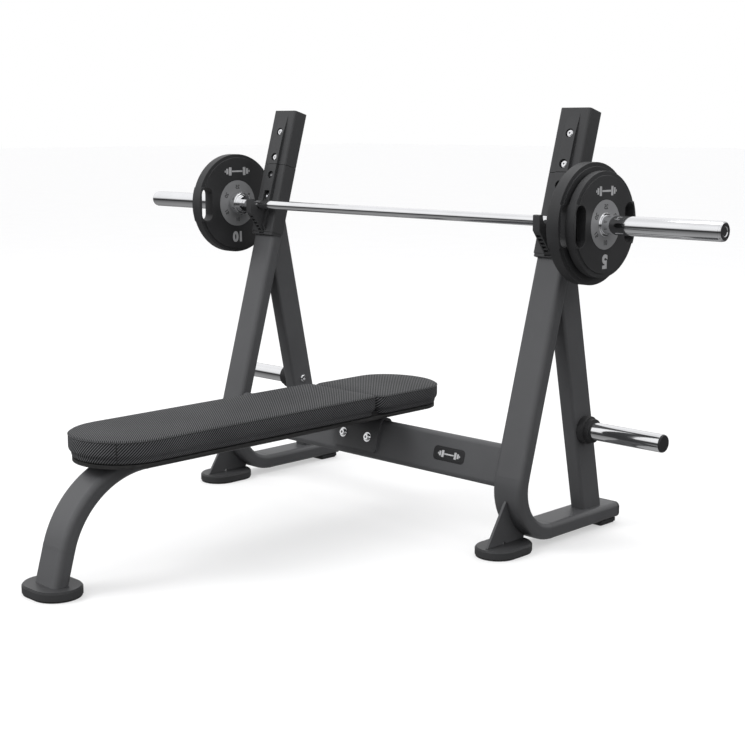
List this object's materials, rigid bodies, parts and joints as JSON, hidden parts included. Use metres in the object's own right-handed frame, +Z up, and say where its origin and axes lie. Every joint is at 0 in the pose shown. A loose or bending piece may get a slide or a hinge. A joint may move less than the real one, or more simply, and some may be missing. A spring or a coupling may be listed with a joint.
{
  "type": "olympic bench press",
  "caption": "Flat bench with leaning fixed uprights, hooks, crossbeam and storage pegs, holding a long chrome barbell loaded with rubber weight plates.",
  "frame": {"origin": "on the floor, under the middle of the whole outline", "axes": "+X along the racked bar to the end with two plates, +Y from the foot end of the bench to the rack end, +Z up"},
  "size_m": [2.2, 1.55, 1.1635],
  "materials": {
    "frame_steel": "satin charcoal powder coat",
    "cover": "satin moulded grey",
    "rubber_black": "matte",
    "plastic_black": "fine grain",
    "chrome": "bright plated",
    "board": "black stained plywood",
    "upholstery": "fine ribbed synthetic leather",
    "plate_rubber": "satin moulded rubber",
    "hub_disc": "satin light grey"
  },
  "bodies": {
    "frame": {"upright_left": "frame_steel", "upright_right": "frame_steel", "runner_cap_left": "plastic_black", "runner_cap_right": "plastic_black", "rear_strut_left": "frame_steel", "rear_strut_right": "frame_steel", "foot_gusset_left": "frame_steel", "foot_gusset_right": "frame_steel", "rack_foot_left": "frame_steel", "rack_foot_right": "frame_steel", "rack_sole_left": "rubber_black", "rack_sole_right": "rubber_black", "rear_foot_left": "rubber_black", "rear_foot_right": "rubber_black", "cover_upper_left": "cover", "cover_upper_right": "cover", "cover_lower_left": "cover", "cover_lower_right": "cover", "bar_hook_left": "cover", "bar_hook_right": "cover", "cover_bolts": "chrome", "crossbeam_left": "frame_steel", "crossbeam_right": "frame_steel", "beam_saddle": "frame_steel", "saddle_bolts": "chrome", "badge_plate": "plastic_black", "spine_tube": "frame_steel", "front_foot": "frame_steel", "front_sole": "rubber_black", "pad_board": "board", "pad_main": "upholstery", "pad_head": "upholstery", "pad_brackets": "frame_steel", "pad_screws": "chrome", "peg_tube_left": "chrome", "peg_tube_right": "chrome", "peg_bumper_left": "rubber_black", "peg_bumper_right": "rubber_black", "peg_cap_left": "plastic_black", "peg_cap_right": "plastic_black", "peg_bolts": "chrome"},
    "bar": {"bar_shaft": "chrome"},
    "sleeve_left": {"sleeve_left": "chrome", "sleeve_cap_left": "chrome"},
    "sleeve_right": {"sleeve_right": "chrome", "sleeve_cap_right": "chrome"},
    "big_plate_left": {"plate10_left": "plate_rubber", "hub10_left": "hub_disc", "ring10_left": "chrome"},
    "big_plate_right": {"plate10_right": "plate_rubber", "hub10_right": "hub_disc", "ring10_right": "chrome"},
    "small_plate_right": {"plate5_right": "plate_rubber", "hub5_right": "hub_disc", "ring5_right": "chrome"}
  },
  "joints": [
    {"name": "bar_lift", "type": "slide", "parent": "frame", "child": "bar", "axis": [0, 0, 1], "range_m": [0, 0.3]},
    {"name": "sleeve_left_spin", "type": "hinge", "parent": "bar", "child": "sleeve_left", "pos_m": [-0.9, 0.463, 0.869], "axis": [1, 0, 0], "continuous": true},
    {"name": "sleeve_right_spin", "type": "hinge", "parent": "bar", "child": "sleeve_right", "pos_m": [0.9, 0.463, 0.869], "axis": [1, 0, 0], "continuous": true},
    {"name": "big_plate_left_slide", "type": "slide", "parent": "sleeve_left", "child": "big_plate_left", "axis": [-1, 0, 0], "range_m": [0, 0.43]},
    {"name": "big_plate_right_slide", "type": "slide", "parent": "sleeve_right", "child": "big_plate_right", "axis": [1, 0, 0], "range_m": [0, 0.43]},
    {"name": "small_plate_right_slide", "type": "slide", "parent": "big_plate_right", "child": "small_plate_right", "axis": [1, 0, 0], "range_m": [0, 0.38]}
  ]
}
